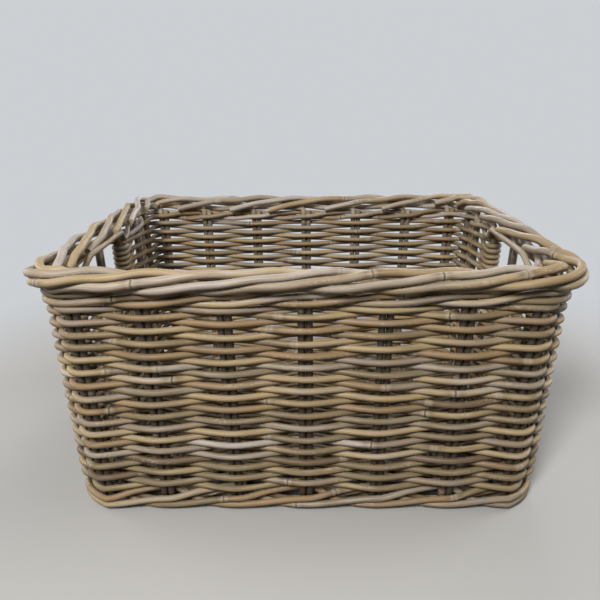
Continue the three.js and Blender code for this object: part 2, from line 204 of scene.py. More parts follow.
def ring_point(run, outward, height):
    index = math.floor(run)
    share = run - index
    pair = pair_at(index)
    following = pair_at(index + 1)
    here = place_of(pair, height)
    if pair.corner != "entering":
        there = place_of(following, height)
        return wall_point(pair.wall, here + (there - here) * share, outward, height)
    turn = share * math.pi / 2
    direction = pair.wall.out * math.cos(turn) + following.wall.out * math.sin(turn)
    centre = wall_point(pair.wall, here, -CORNER_INSET, height)
    return centre + direction * (CORNER_INSET + outward)


rim_corner = ring_point(RIGHT_FIRST - 0.5, 0, cad_high.z)
print("rim corner in metres:", tuple(round(value, 4) for value in rim_corner))

# %% [markdown]
# ## One cane as a node tree
#
# All canes are alike: a round rod that follows a route. They could be swept with a bevelled curve, but a
# Geometry Nodes tree can do more while it sweeps. It spaces the points evenly, lets the rod wander and vary
# a little in thickness, raises a knot at uneven distances as rattan has, and stores where on the straight
# rod each point lies. The finish then draws fibres along the cane, however it bends.

# %% Helpers for node trees
MIX_INPUTS = (0, 6, 7)
MIX_RESULT = 2


def set_input(tree, socket, value):
    if isinstance(value, bpy.types.NodeSocket):
        tree.links.new(value, socket)
    else:
        socket.default_value = value


def add_node(tree, kind, inputs=None, **settings):
    node = tree.nodes.new(kind)
    for name, value in settings.items():
        setattr(node, name, value)
    for key, value in (inputs or {}).items():
        set_input(tree, node.inputs[key], value)
    return node


def calculate(tree, operation, first, second=0.0, clamp=False):
    inputs = {0: first, 1: second}
    return add_node(tree, "ShaderNodeMath", inputs, operation=operation, use_clamp=clamp).outputs[0]


def ramp_between(tree, value, low, high, to_low=0.0, to_high=1.0):
    inputs = {"Value": value, "From Min": low, "From Max": high, "To Min": to_low, "To Max": to_high}
    return add_node(tree, "ShaderNodeMapRange", inputs, interpolation_type="SMOOTHSTEP").outputs[0]


def mix_colours(tree, factor, first, second):
    inputs = dict(zip(MIX_INPUTS, (factor, first, second)))
    return add_node(tree, "ShaderNodeMix", inputs, data_type="RGBA").outputs[MIX_RESULT]


# %% Inputs of the cane tree
CANE_INPUTS = {
    "Route": "NodeSocketGeometry",
    "Radius": "NodeSocketFloat",
    "Sides": "NodeSocketInt",
    "Step": "NodeSocketFloat",
    "Knot Spacing": "NodeSocketFloat",
    "Knot Height": "NodeSocketFloat",
    "Unevenness": "NodeSocketFloat",
    "Wander": "NodeSocketFloat",
    "Swell": "NodeSocketFloat",
    "Swell Height": "NodeSocketFloat",
    "Tone": "NodeSocketFloat",
    "Seed": "NodeSocketInt",
    "Finish": "NodeSocketMaterial",
}
cane_tree = bpy.data.node_groups.new("cane", "GeometryNodeTree")
cane_sockets = {}
for name, kind in CANE_INPUTS.items():
    socket = cane_tree.interface.new_socket(name, in_out="INPUT", socket_type=kind)
    cane_sockets[name] = socket.identifier
cane_tree.interface.new_socket("Cane", in_out="OUTPUT", socket_type="NodeSocketGeometry")
given = cane_tree.nodes.new("NodeGroupInput").outputs
print("cane inputs:", len(cane_sockets))

# %% [markdown]
# ### Knots
#
# A knot shows where a leaf once grew. There is one in every stretch of the knot spacing, at a random place in
# it, and each length between two knots gets a random tone of its own.

# %% Knots along the rod
KNOT_WIDTH = 0.0035
KNOT_ROOM = (0.15, 0.85)
RANDOM_LOW = 2
RANDOM_HIGH = 3
RANDOM_RESULT = 1


def draw_for(number, low, high):
    inputs = {RANDOM_LOW: low, RANDOM_HIGH: high, "ID": number, "Seed": given["Seed"]}
    node = add_node(cane_tree, "FunctionNodeRandomValue", inputs, data_type="FLOAT")
    return node.outputs[RANDOM_RESULT]


along_rod = cane_tree.nodes.new("GeometryNodeSplineParameter").outputs["Length"]
stretch = calculate(cane_tree, "DIVIDE", along_rod, given["Knot Spacing"])
stretch = calculate(cane_tree, "FLOOR", stretch)
knot_place = calculate(cane_tree, "ADD", stretch, draw_for(stretch, *KNOT_ROOM))
knot_place = calculate(cane_tree, "MULTIPLY", knot_place, given["Knot Spacing"])
from_knot = calculate(cane_tree, "SUBTRACT", along_rod, knot_place)
knot_distance = calculate(cane_tree, "ABSOLUTE", from_knot)
knot = ramp_between(cane_tree, knot_distance, 0.0, KNOT_WIDTH, 1.0, 0.0)
past_knot = calculate(cane_tree, "GREATER_THAN", from_knot, 0.0)
length_tone = draw_for(calculate(cane_tree, "ADD", stretch, past_knot), 0.0, 1.0)
print("cane tree nodes with the knots:", len(cane_tree.nodes))

# %% [markdown]
# ### Thickness and wander
#
# One slow noise along the rod does both: its grey value swells and thins the rod, and its colour moves the
# rod aside. Above the swell height the rod is thicker, as the stakes are in the border.

# %% Thickness and wander
NOISE_PER_METRE = 14.0
NOISE_PER_SEED = 7.31
NOISE_DETAIL = 2.0
NOISE_MIDDLE = 0.5
SWELL_RISE = 0.008

noise_along = calculate(cane_tree, "MULTIPLY", along_rod, NOISE_PER_METRE)
noise_aside = calculate(cane_tree, "MULTIPLY", given["Seed"], NOISE_PER_SEED)
noise_place = add_node(cane_tree, "ShaderNodeCombineXYZ", {0: noise_along, 1: noise_aside}).outputs[0]
noise_inputs = {"Vector": noise_place, "Scale": 1.0, "Detail": NOISE_DETAIL}
grey_noise, colour_noise = add_node(cane_tree, "ShaderNodeTexNoise", noise_inputs).outputs[:2]

swing = calculate(cane_tree, "SUBTRACT", grey_noise, NOISE_MIDDLE)
swing = calculate(cane_tree, "MULTIPLY", swing, given["Unevenness"])
thickness = calculate(cane_tree, "ADD", swing, 1.0)
thickness = calculate(cane_tree, "MULTIPLY", given["Radius"], thickness)
knot_rise = calculate(cane_tree, "MULTIPLY", knot, given["Knot Height"])
thickness = calculate(cane_tree, "ADD", thickness, knot_rise)
position = cane_tree.nodes.new("GeometryNodeInputPosition").outputs[0]
up = add_node(cane_tree, "ShaderNodeSeparateXYZ", {0: position}).outputs["Z"]
above = calculate(cane_tree, "SUBTRACT", up, given["Swell Height"])
swell = ramp_between(cane_tree, above, 0.0, SWELL_RISE, 1.0, given["Swell"])
thickness = calculate(cane_tree, "MULTIPLY", thickness, swell)

drift_inputs = {0: colour_noise, 1: (NOISE_MIDDLE,) * 3}
drift = add_node(cane_tree, "ShaderNodeVectorMath", drift_inputs, operation="SUBTRACT").outputs[0]
drift_inputs = {0: drift, "Scale": given["Wander"]}
drift = add_node(cane_tree, "ShaderNodeVectorMath", drift_inputs, operation="SCALE").outputs[0]
print("cane tree nodes with the thickness:", len(cane_tree.nodes))

# %% [markdown]
# ### The sweep
#
# A circle is swept along the moved rod. What the finish needs is stored on the points first, because the
# swept mesh inherits it: the distance from the knot, the tones, and the place on the straight rod. Only the
# cut ends have faces with more than four corners, which is how they are found.

# %% Sweep
QUAD_LIMIT = 4.5


def store(geometry, name, value, kind="FLOAT", domain="POINT"):
    inputs = {"Geometry": geometry, "Name": name, "Value": value}
    settings = {"data_type": kind, "domain": domain}
    return add_node(cane_tree, "GeometryNodeStoreNamedAttribute", inputs, **settings).outputs[0]


def stored(name, kind):
    inputs = {"Name": name}
    return add_node(cane_tree, "GeometryNodeInputNamedAttribute", inputs, data_type=kind).outputs[0]


even_inputs = {"Curve": given["Route"], "Length": given["Step"]}
even_rod = add_node(cane_tree, "GeometryNodeResampleCurve", even_inputs, mode="LENGTH").outputs[0]
moved_inputs = {"Geometry": even_rod, "Offset": drift}
swept_rod = add_node(cane_tree, "GeometryNodeSetPosition", moved_inputs).outputs[0]
swept_rod = store(swept_rod, "from_knot", from_knot)
swept_rod = store(swept_rod, "length_tone", length_tone)
swept_rod = store(swept_rod, "along", along_rod)
swept_rod = store(swept_rod, "tone", given["Tone"])
circle_inputs = {"Resolution": given["Sides"], "Radius": 1.0}
circle = add_node(cane_tree, "GeometryNodeCurvePrimitiveCircle", circle_inputs, mode="RADIUS").outputs[0]
section_place = cane_tree.nodes.new("GeometryNodeInputPosition").outputs[0]
section = store(circle, "section", section_place, "FLOAT_VECTOR")
sweep_inputs = {"Curve": swept_rod, "Profile Curve": section, "Scale": thickness, "Fill Caps": True}
cane = add_node(cane_tree, "GeometryNodeCurveToMesh", sweep_inputs).outputs[0]

across = add_node(cane_tree, "ShaderNodeSeparateXYZ", {0: stored("section", "FLOAT_VECTOR")}).outputs
straight_inputs = {0: across[0], 1: across[1], 2: stored("along", "FLOAT")}
straight = add_node(cane_tree, "ShaderNodeCombineXYZ", straight_inputs).outputs[0]
cane = store(cane, "straight_cane", straight, "FLOAT_VECTOR")
corners = cane_tree.nodes.new("GeometryNodeInputMeshFaceNeighbors").outputs["Vertex Count"]
cut_end = calculate(cane_tree, "GREATER_THAN", corners, QUAD_LIMIT)
cane = store(cane, "cut_end", cut_end, "FLOAT", "FACE")
flat_inputs = {"Geometry": cane, "Selection": cut_end, "Shade Smooth": False}
cane = add_node(cane_tree, "GeometryNodeSetShadeSmooth", flat_inputs).outputs[0]
cane = add_node(cane_tree, "GeometryNodeRealizeInstances", {"Geometry": cane}).outputs[0]
finish_inputs = {"Geometry": cane, "Material": given["Finish"]}
cane = add_node(cane_tree, "GeometryNodeSetMaterial", finish_inputs).outputs[0]
add_node(cane_tree, "NodeGroupOutput", {"Cane": cane})
print("cane tree nodes in all:", len(cane_tree.nodes))

# %% [markdown]
# ## The rattan finish
#
# Rattan with its bark scraped off is a matt, straw-coloured wood. It greys with age, length by length, with
# fine fibres along the rod, a dark ring and a paler collar at each knot, and small scuffs across. A picture
# of it would slide off at the bends, so the finish is built from noise that is stretched along the straight
# rod. Each kind of noise has a count round the cane, a count along each metre, a detail and a roughness.

# %% Grain of a cane
GRAINS = {
    "patches": (0.7, 20.0, 3.0, 0.55),
    "fibres": (5.0, 40.0, 4.0, 0.6),
    "fine fibres": (16.0, 150.0, 3.0, 0.6),
    "scuffs": (1.1, 420.0, 3.0, 0.6),
    "bare": (0.5, 17.0, 2.0, 0.5),
    "weather": (1.6, 8.0, 4.0, 0.6),
    "wobble": (1.2, 120.0, 3.0, 0.55),
}
GRAIN_PER_TONE = 91.7


def attribute(tree, label, output="Fac"):
    return add_node(tree, "ShaderNodeAttribute", attribute_name=label).outputs[output]


def cane_grains(tree):
    place = attribute(tree, "straight_cane", "Vector")
    shift = calculate(tree, "MULTIPLY", attribute(tree, "tone"), GRAIN_PER_TONE)
    shift = add_node(tree, "ShaderNodeCombineXYZ", {0: shift, 1: shift, 2: shift}).outputs[0]
    grains = {}
    for name, (around, lengthwise, detail, roughness) in GRAINS.items():
        inputs = {0: place, 1: (around, around, lengthwise)}
        stretched = add_node(tree, "ShaderNodeVectorMath", inputs, operation="MULTIPLY").outputs[0]
        inputs = {0: stretched, 1: shift}
        shifted = add_node(tree, "ShaderNodeVectorMath", inputs, operation="ADD").outputs[0]
        inputs = {"Vector": shifted, "Scale": 1.0, "Detail": detail, "Roughness": roughness}
        grains[name] = add_node(tree, "ShaderNodeTexNoise", inputs).outputs[0]
    return grains


print("kinds of grain:", len(GRAINS))

# %% [markdown]
# ### Colour along a cane
#
# Each cane, and each length between two knots, takes its own tint from a list of tones. Noise then greys,
# stains and bleaches it. A mark is written as two values of the noise, and how strong it is at each of them.

# %% Colour along a cane
GREYED = (0.350, 0.300, 0.236, 1.0)
# Dark brown of real stains in the fibres and beside the knots, also painted as shade on the undersides of the
# canes.
STAIN_AND_SHADE = (0.120, 0.080, 0.045, 1.0)
BLEACHED = (0.600, 0.510, 0.390, 1.0)
CANE_SHARE = 0.60
LENGTH_SHARE = 0.40
PATCH_SHIFT = (0.3, 0.7, -0.04, 0.04)
GREYING = (0.50, 0.72, 0.0, 0.45)
FIBRE_STAIN = (0.30, 0.60, 0.42, 0.0)
FIBRE_BLEACH = (0.48, 0.75, 0.0, 0.30)
SCUFF_MARKS = (0.48, 0.62)
SCUFF_PATCHES = (0.58, 0.66)
SCUFF_STRENGTH = 0.45


def set_tones(ramp, tones):
    ramp.interpolation = "EASE"
    for stop, (place, tint) in zip(ramp.elements, (tones[0], tones[-1])):
        stop.position = place
        stop.color = tint
    for place, tint in tones[1:-1]:
        ramp.elements.new(place).color = tint


def cane_colour(tree, tones, grains):
    hue = calculate(tree, "MULTIPLY", attribute(tree, "tone"), CANE_SHARE)
    length_hue = calculate(tree, "MULTIPLY", attribute(tree, "length_tone"), LENGTH_SHARE)
    hue = calculate(tree, "ADD", hue, length_hue)
    hue = calculate(tree, "ADD", hue, ramp_between(tree, grains["patches"], *PATCH_SHIFT))
    ramp = add_node(tree, "ShaderNodeValToRGB", {"Fac": hue})
    set_tones(ramp.color_ramp, tones)
    greyed = ramp_between(tree, grains["weather"], *GREYING)
    colour = mix_colours(tree, greyed, ramp.outputs[0], GREYED)
    colour = mix_colours(tree, ramp_between(tree, grains["fibres"], *FIBRE_STAIN), colour, STAIN_AND_SHADE)
    pale = ramp_between(tree, grains["fine fibres"], *FIBRE_BLEACH)
    colour = mix_colours(tree, pale, colour, BLEACHED)
    scuffed = ramp_between(tree, grains["scuffs"], *SCUFF_MARKS)
    scuffed = calculate(tree, "MULTIPLY", scuffed, ramp_between(tree, grains["bare"], *SCUFF_PATCHES))
    scuffed = calculate(tree, "MULTIPLY", scuffed, SCUFF_STRENGTH)
    return mix_colours(tree, scuffed, colour, BLEACHED)


print("share of the whole cane in its tint:", CANE_SHARE)

# %% [markdown]
# ### Shaded sides
#
# Each face of a cane that points down is darkened by which way it faces: painted shade under every cane.
# Inside the wall the stakes are darkened towards a near-black brown, more at the front than towards the rear:
# painted shade between the canes. Above the top of the wall the stakes are left as they are.

# %% Underside and dark skin
# Near-black brown painted as shade on the stakes inside the wall, its strength at the front and at the rear,
# and the height where it stops.
PAINTED_SHADE_BROWN = (0.044, 0.030, 0.019, 1.0)
# Painted shade under the canes: its strength from faces that point down to faces that lie level.
UNDERSIDE_SHADE = (-0.8, 0.15, 0.55, 0.0)
SHADE_AT_FRONT = 0.92
SHADE_AT_REAR = 0.62
SHADE_TOP = 0.226
SHADE_FADE = 0.01


# Painted shade: faces that point down are mixed towards the stain-and-shade brown.
def paint_underside_shade(tree, colour):
    facing = tree.nodes.new("ShaderNodeNewGeometry").outputs["Normal"]
    facing = add_node(tree, "ShaderNodeSeparateXYZ", {0: facing}).outputs["Z"]
    return mix_colours(tree, ramp_between(tree, facing, *UNDERSIDE_SHADE), colour, STAIN_AND_SHADE)


# Painted shade: below the top of the wall the stakes are mixed towards the near-black brown, more at the front
# than at the rear.
def paint_stake_shade(tree, colour):
    place = tree.nodes.new("ShaderNodeTexCoord").outputs["Object"]
    place = add_node(tree, "ShaderNodeSeparateXYZ", {0: place}).outputs
    stake_shade = ramp_between(tree, place["Y"], cad_low.y, cad_high.y, SHADE_AT_FRONT, SHADE_AT_REAR)
    shaded = ramp_between(tree, place["Z"], SHADE_TOP - SHADE_FADE, SHADE_TOP, 1.0, 0.0)
    return mix_colours(tree, calculate(tree, "MULTIPLY", stake_shade, shaded), colour, PAINTED_SHADE_BROWN)


# The height up to which the stakes get painted shade.
print("dark skin up to, in metres:", SHADE_TOP)

# %% [markdown]
# ### Marks at the knots
#
# Each knot has an uneven dark ring with a paler collar, stronger at some knots than at others, and a stain
# beside some of them. These marks are written in metres from the knot.

# %% Marks at the knots
KNOT_RING = (0.040, 0.027, 0.016, 1.0)
RING_WOBBLE = (0.3, 0.7, -0.0005, 0.0005)
RING_DEPTH = (0.1, 0.9, 0.2, 0.85)
RING_WIDTH = (0.0003, 0.0013, 1.0, 0.0)
COLLAR_WIDTH = (0.0010, 0.0060, 0.40, 0.0)
STAIN_WIDTH = (0.0020, 0.0140, 0.7, 0.0)
STAIN_PLACES = (0.42, 0.60, 1.0, 0.0)


def mark_knots(tree, colour, grains):
    wobble = ramp_between(tree, grains["wobble"], *RING_WOBBLE)
    distance = calculate(tree, "ADD", attribute(tree, "from_knot"), wobble)
    distance = calculate(tree, "ABSOLUTE", distance)
    depth = ramp_between(tree, attribute(tree, "length_tone"), *RING_DEPTH)
    ring = calculate(tree, "MULTIPLY", ramp_between(tree, distance, *RING_WIDTH), depth)
    stain = ramp_between(tree, distance, *STAIN_WIDTH)
    stain = calculate(tree, "MULTIPLY", stain, ramp_between(tree, grains["weather"], *STAIN_PLACES))
    colour = mix_colours(tree, stain, colour, STAIN_AND_SHADE)
    colour = mix_colours(tree, ramp_between(tree, distance, *COLLAR_WIDTH), colour, BLEACHED)
    return mix_colours(tree, ring, colour, KNOT_RING), ring


print("ring width in metres:", RING_WIDTH[1])

# %% [markdown]
# ### The whole finish
#
# The cut ends show the pale pith. The fibres are also slightly raised and a little shinier than the wood
# between them, and the knot rings are grooves.

# %% Rattan
PITH_DARK = (0.300, 0.220, 0.130, 1.0)
PITH_PALE = (0.550, 0.440, 0.300, 1.0)
PITH_GRAIN = (0.4, 0.6)
FIBRE_ROUGHNESS = (0.3, 0.7, 0.62, 0.44)
SPECULAR_LEVEL = 0.40
FINE_FIBRE_RELIEF = 0.5
RING_RELIEF = 1.2
BUMP_STRENGTH = 0.35
BUMP_DISTANCE = 0.0004


def rattan(name, tones, has_painted_shade=False):
    material = bpy.data.materials.new(name)
    material.use_nodes = True
    tree = material.node_tree
    shader = tree.nodes["Principled BSDF"]
    grains = cane_grains(tree)
    colour = paint_underside_shade(tree, cane_colour(tree, tones, grains))
    # Painted shade on the stakes inside the wall.
    if has_painted_shade:
        colour = paint_stake_shade(tree, colour)
    colour, ring = mark_knots(tree, colour, grains)
    pith = ramp_between(tree, grains["fine fibres"], *PITH_GRAIN)
    pith = mix_colours(tree, pith, PITH_DARK, PITH_PALE)
    colour = mix_colours(tree, attribute(tree, "cut_end"), colour, pith)
    roughness = ramp_between(tree, grains["fibres"], *FIBRE_ROUGHNESS)
    fine_relief = calculate(tree, "MULTIPLY", grains["fine fibres"], FINE_FIBRE_RELIEF)
    relief = calculate(tree, "ADD", grains["fibres"], fine_relief)
    relief = calculate(tree, "SUBTRACT", relief, calculate(tree, "MULTIPLY", ring, RING_RELIEF))
    inputs = {"Height": relief, "Strength": BUMP_STRENGTH, "Distance": BUMP_DISTANCE}
    bump = add_node(tree, "ShaderNodeBump", inputs).outputs[0]
    tree.links.new(colour, shader.inputs["Base Color"])
    tree.links.new(roughness, shader.inputs["Roughness"])
    tree.links.new(bump, shader.inputs["Normal"])
    shader.inputs["Specular IOR Level"].default_value = SPECULAR_LEVEL
    return material


# %% Tones of the canes
BROWN = (0.150, 0.098, 0.050, 1.0)
RUSSET = (0.260, 0.158, 0.082, 1.0)
HONEY = (0.385, 0.270, 0.135, 1.0)
STRAW = (0.475, 0.348, 0.175, 1.0)
AMBER = (0.350, 0.222, 0.105, 1.0)
OLIVE = (0.220, 0.165, 0.085, 1.0)
DRIFTWOOD = (0.318, 0.258, 0.198, 1.0)
ASH = (0.415, 0.345, 0.270, 1.0)
LILAC_GREY = (0.520, 0.455, 0.405, 1.0)
wall_tones = [
    (0.10, BROWN),
    (0.20, RUSSET),
    (0.29, HONEY),
    (0.37, OLIVE),
    (0.45, STRAW),
    (0.53, DRIFTWOOD),
    (0.61, AMBER),
    (0.69, OLIVE),
    (0.77, ASH),
    (0.85, STRAW),
    (0.94, LILAC_GREY),
]
stake_tones = [
    (0.10, HONEY),
    (0.22, ASH),
    (0.33, DRIFTWOOD),
    (0.44, STRAW),
    (0.55, LILAC_GREY),
    (0.66, HONEY),
    (0.77, ASH),
    (0.92, LILAC_GREY),
]
# The base takes only the darkest tones: painted shade that keeps the gaps low in the wall dark.
base_tones = [(0.0, BROWN), (1.0, OLIVE)]
finishes = {
    # The stakes get painted shade inside the wall.
    "stake_cane": rattan("stake_rattan", stake_tones, has_painted_shade=True),
    "weaver_cane": rattan("weaver_rattan", wall_tones),
    "wale_cane": rattan("wale_rattan", wall_tones),
    "base_cane": rattan("base_rattan", base_tones),
}
print("finishes:", sorted(finishes))

# %% [markdown]
# ## From a route to a cane
#
# A route is a list of points. It becomes a curve, the cane tree sweeps it, and the result is turned into a
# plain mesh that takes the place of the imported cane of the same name. Every cane gets its own seed and its
# own tone, drawn from one seeded generator, so the basket comes out the same each time.

# %% Make one cane
CANE_SIDES = 10
CANE_STEP = 0.0024
CANE_WANDER = 0.0006
KNOT_SPACING = 0.28
KNOT_SPACING_SPREAD = (0.8, 1.3)
KNOT_HEIGHT = 0.00028
UNEVENNESS = 0.14
RIM_HEIGHT = 0.228
HIGHEST_SEED = 9999
dice = random.Random(41)
canes = []


def make_cane(node, route, radius, slot, wander=CANE_WANDER, swell=1.0, tone=None):
    curve = bpy.data.curves.new(node + "_route", "CURVE")
    curve.dimensions = "3D"
    spline = curve.splines.new("POLY")
    spline.points.add(len(route) - 1)
    for point, place in zip(spline.points, route):
        point.co = (place.x, place.y, place.z, 1.0)
    guide = bpy.data.objects.new(node + "_guide", curve)
    bpy.context.scene.collection.objects.link(guide)
    sweep = guide.modifiers.new("cane", "NODES")
    sweep.node_group = cane_tree
    values = {
        "Radius": radius,
        "Sides": CANE_SIDES,
        "Step": CANE_STEP,
        "Knot Spacing": KNOT_SPACING * dice.uniform(*KNOT_SPACING_SPREAD),
        "Knot Height": KNOT_HEIGHT,
        "Unevenness": UNEVENNESS,
        "Wander": wander,
        "Swell": swell,
        "Swell Height": RIM_HEIGHT,
        "Tone": dice.random() if tone is None else tone,
        "Seed": dice.randrange(1, HIGHEST_SEED),
        "Finish": finishes[slot],
    }
    for name, value in values.items():
        sweep[cane_sockets[name]] = value
    scene_state = bpy.context.evaluated_depsgraph_get()
    mesh = bpy.data.meshes.new_from_object(guide.evaluated_get(scene_state))
    bpy.data.objects.remove(guide)
    bpy.data.curves.remove(curve)
    piece = bpy.data.objects.new(node + "_cane", mesh)
    bpy.context.scene.collection.objects.link(piece)
    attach(piece, "root")
    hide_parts(node)
    canes.append(piece)


print("points for each metre of cane:", round(1 / CANE_STEP))

# %% [markdown]
# ## The woven rows
#
# Each row passes outside one pair of stakes and inside the next, and the rows above and below do the
# opposite. A plain wave would bend the cane everywhere, and a zigzag only at the stakes. A springy rod does
# something in between: it rounds each pair and runs nearly straight to the next. The rows also rise and
# fall a little together, as hand-woven rows do: three waves are laid over each other, and each is written as
# its count round the basket, its shift from row to row, its start and its size. At the foot the wall is
# drawn in a little round the corners.

# %% Heights of the rows
FULL_ROWS = 25
HOLE_ROWS = 6
ROW_DRIFT = 0.0009
DRIFT_EDGE_ROWS = 6
DRIFT_WAVES = [(3, 0.33, 0.4, 1.0), (7, -0.27, 2.0, 0.7), (11, 0.41, 4.4, 0.5)]


def middle_height(node):
    low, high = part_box(node)
    return (low.z + high.z) / 2


first_row = middle_height("course_01")
row_pitch = (middle_height(f"course_{FULL_ROWS:02d}") - first_row) / (FULL_ROWS - 1)
row_count = FULL_ROWS + HOLE_ROWS


def row_drift(run, row):
    edge = smooth(min(row - 1, row_count - row) / DRIFT_EDGE_ROWS)
    turn = 2 * math.pi * run / pair_count
    drift = 0.0
    for waves, row_shift, start, size in DRIFT_WAVES:
        drift += size * math.sin(waves * turn + row_shift * row + start)
    return ROW_DRIFT * edge * drift


def row_height(run, row):
    return first_row + (row - 1) * row_pitch + row_drift(run, row)


print("rows and their pitch in metres:", row_count, round(row_pitch, 5))

# %% [markdown]
# ### The path of a row
#
# The two ends of a row meet on the inside, at another stake pair for each row, so that the joints don't line
# up as a seam.

# %% Rows of weaving
SAMPLES_PER_PAIR = 20
STRAIGHTNESS = 0.88
END_GAP = 0.004
JOINT_STRIDE = 4
LOW_CORNER_CUT = {1: 0.35, 2: 0.15}
ROW_SPREAD = (0.99, 1.07)
weave_reach = STAKE_RADIUS + WEAVER_RADIUS + CLEARANCE


def row_side(index, row):
    return 1 if (index + row) % 2 == 1 else -1


def corner_cut(run, outward):
    index = math.floor(run)
    if pair_at(index).corner != "entering":
        return 0.0
    turn = (run - index - 0.5) * math.pi / 2
    return (CORNER_INSET + outward) * (1 - math.cos(math.pi / 4) / math.cos(turn))


def row_point(run, row):
    index = math.floor(run)
    wave = math.asin(STRAIGHTNESS * math.cos(math.pi * (run - index))) / math.asin(STRAIGHTNESS)
    outward = weave_reach * row_side(index, row) * wave
    outward -= LOW_CORNER_CUT.get(row, 0.0) * corner_cut(run, outward)
    return ring_point(run, outward, row_height(run, row))


def runs_between(first, last):
    steps = max(2, round(abs(last - first) * SAMPLES_PER_PAIR))
    return [first + (last - first) * step / steps for step in range(steps + 1)]


def joint_place(row):
    between_corners = [index for index in range(pair_count) if pairs[index].corner is None]
    inside = [index for index in between_corners if row_side(index, row) < 0]
    return inside[row * JOINT_STRIDE % len(inside)]


for row in range(1, FULL_ROWS + 1):
    start = joint_place(row)
    runs = runs_between(start + END_GAP, start + pair_count - END_GAP)
    route = [row_point(run, row) for run in runs]
    radius = WEAVER_RADIUS * dice.uniform(*ROW_SPREAD)
    make_cane(f"course_{row:02d}", route, radius, "weaver_cane")
print("rows made:", len(canes))

# %% [markdown]
# ## The rows beside the hand holes
#
# The top rows stop at a hand hole in each short wall. One cane runs to and fro there, and at the edge of the
# hole it goes round the stake pair once more before it turns back, so that the edge is fully wrapped.

# %% Turns at a hole
WRAP_STEPS = 8


def half_turn(index, toward, side, low, high):
    pair = pair_at(index)
    points = []
    for step in range(WRAP_STEPS + 1):
        share = step / WRAP_STEPS
        angle = side * math.pi * (0.5 - share)
        along = toward * (pair_half + weave_reach * math.cos(angle))
        outward = weave_reach * math.sin(angle)
        height = low + (high - low) * smooth(share)
        points.append(wall_point(pair.wall, place_of(pair, height) + along, outward, height))
    return points


def turn_back(index, toward, row):
    low = row_height(index, row)
    high = row_height(index, row + 1)
    side = row_side(index, row)
    points = half_turn(index, toward, side, low, low)
    points += half_turn(index, -toward, -side, low, high)
    points += half_turn(index, toward, side, high, high)
    return points


print("points on one turn back:", len(turn_back(RIGHT_FIRST + 1, 1, FULL_ROWS + 1)))

# %% Hand-hole rows
RIGHT_HOLE = RIGHT_FIRST + 2
LEFT_HOLE = LEFT_FIRST + 3
HOLE_WEAVER_SIZE = 1.03
FRONT_HOLE_TONE = 0.5
REAR_HOLE_TONE = 0.4


def hole_route(first, last):
    start_side = row_side(first, FULL_ROWS + 1)
    start_height = row_height(first, FULL_ROWS + 1)
    route = half_turn(first, -1, -start_side, start_height, start_height)
    for row in range(FULL_ROWS + 1, row_count + 1):
        forward = (row - FULL_ROWS) % 2 == 1
        begin, end = (first, last) if forward else (last, first)
        toward = 1 if forward else -1
        inset = toward * (pair_half / SHORT_WALL_SPACING)
        route += [row_point(run, row) for run in runs_between(begin + inset, end - inset)]
        if row < row_count:
            route += turn_back(end, toward, row)
        else:
            height = row_height(end, row)
            route += half_turn(end, toward, row_side(end, row), height, height)
    return route


front_route = hole_route(LEFT_HOLE + 1, pair_count + RIGHT_HOLE - 1)
rear_route = hole_route(RIGHT_HOLE + 1, LEFT_HOLE - 1)
radius = HOLE_WEAVER_SIZE * WEAVER_RADIUS
make_cane("front_hole_weaver", front_route, radius, "weaver_cane", tone=FRONT_HOLE_TONE)
make_cane("rear_hole_weaver", rear_route, radius, "weaver_cane", tone=REAR_HOLE_TONE)
print("points on the front hole route:", len(front_route))

# %% [markdown]
# ## The wales
#
# A wale is a twist of three canes that locks the wall. Each cane passes outside two places and inside the
# third, and climbs over the next one as it goes, so from outside it looks like a rope that rises to the
# right. Two pairs at a corner count as one place. The foot and the top of the wall have one wale each. Over a
# hand hole the top wale stops twisting, and its canes lie side by side close under the border.

# %% Path of a wale
WALE_RODS = 3
HOLE_ROD_GAP = 0.0022
HOLE_LIFT_IN = 0.0035
HOLE_RISE = 0.32
FOOT_CORNER_CUT = 0.6
wale_reach = STAKE_RADIUS + WALE_RADIUS + CLEARANCE / 2
hole_middles = (RIGHT_HOLE, LEFT_HOLE)


def eased(keys, run):
    for (run_a, value_a), (run_b, value_b) in zip(keys, keys[1:]):
        if run <= run_b:
            return value_a + (value_b - value_a) * smooth((run - run_a) / (run_b - run_a))
    return keys[-1][1]


def wale_places(passes_holes):
    places = []
    for index in range(pair_count):
        past_hole_edge = index in hole_middles or index - 1 in hole_middles
        if pairs[index].corner != "leaving" and not (passes_holes and past_hole_edge):
            places.append(index)
    return places


def wale_stops(index, beat, levels):
    out = -wale_reach if beat == 2 else wale_reach
    level = (levels["low"], levels["high"], levels["inside"])[beat]
    stops = [(index, out, level)]
    if pair_at(index).corner == "entering":
        stops.append((index + 1, out, level))
    elif "over hole" in levels and (index + 1) % pair_count in hole_middles:
        beside = out + (2 * WALE_RADIUS + HOLE_ROD_GAP, 0, -HOLE_LIFT_IN)[beat]
        stops.append((index + HOLE_RISE, beside, levels["over hole"][beat]))
        stops.append((index + 2 - HOLE_RISE, beside, levels["over hole"][beat]))
        stops.append((index + 2, out, level))
    return stops


def wale_route(rod, levels):
    passes_holes = "over hole" in levels
    places = wale_places(passes_holes)
    first = places.index(REAR_MIDDLE)
    reaches = []
    heights = []
    for step in range(len(places) + 1):
        laps, number = divmod(first + step, len(places))
        beat = (step + rod) % WALE_RODS
        stops = wale_stops(places[number] + laps * pair_count, beat, levels)
        reaches += [(run, reach) for run, reach, height in stops]
        heights += [(run, height) for run, reach, height in stops]
        if beat > 0:
            passing = levels["going in"] if beat == 1 else levels["coming out"]
            heights.append((stops[-1][0] + 0.5, passing))
    route = []
    for run in runs_between(reaches[0][0] + END_GAP, reaches[-1][0] - END_GAP):
        reach = eased(reaches, run)
        cut = 0.0 if passes_holes else FOOT_CORNER_CUT * corner_cut(run, reach)
        route.append(ring_point(run, reach - cut, eased(heights, run)))
    return route


print("places of the foot and top wale:", len(wale_places(False)), len(wale_places(True)))

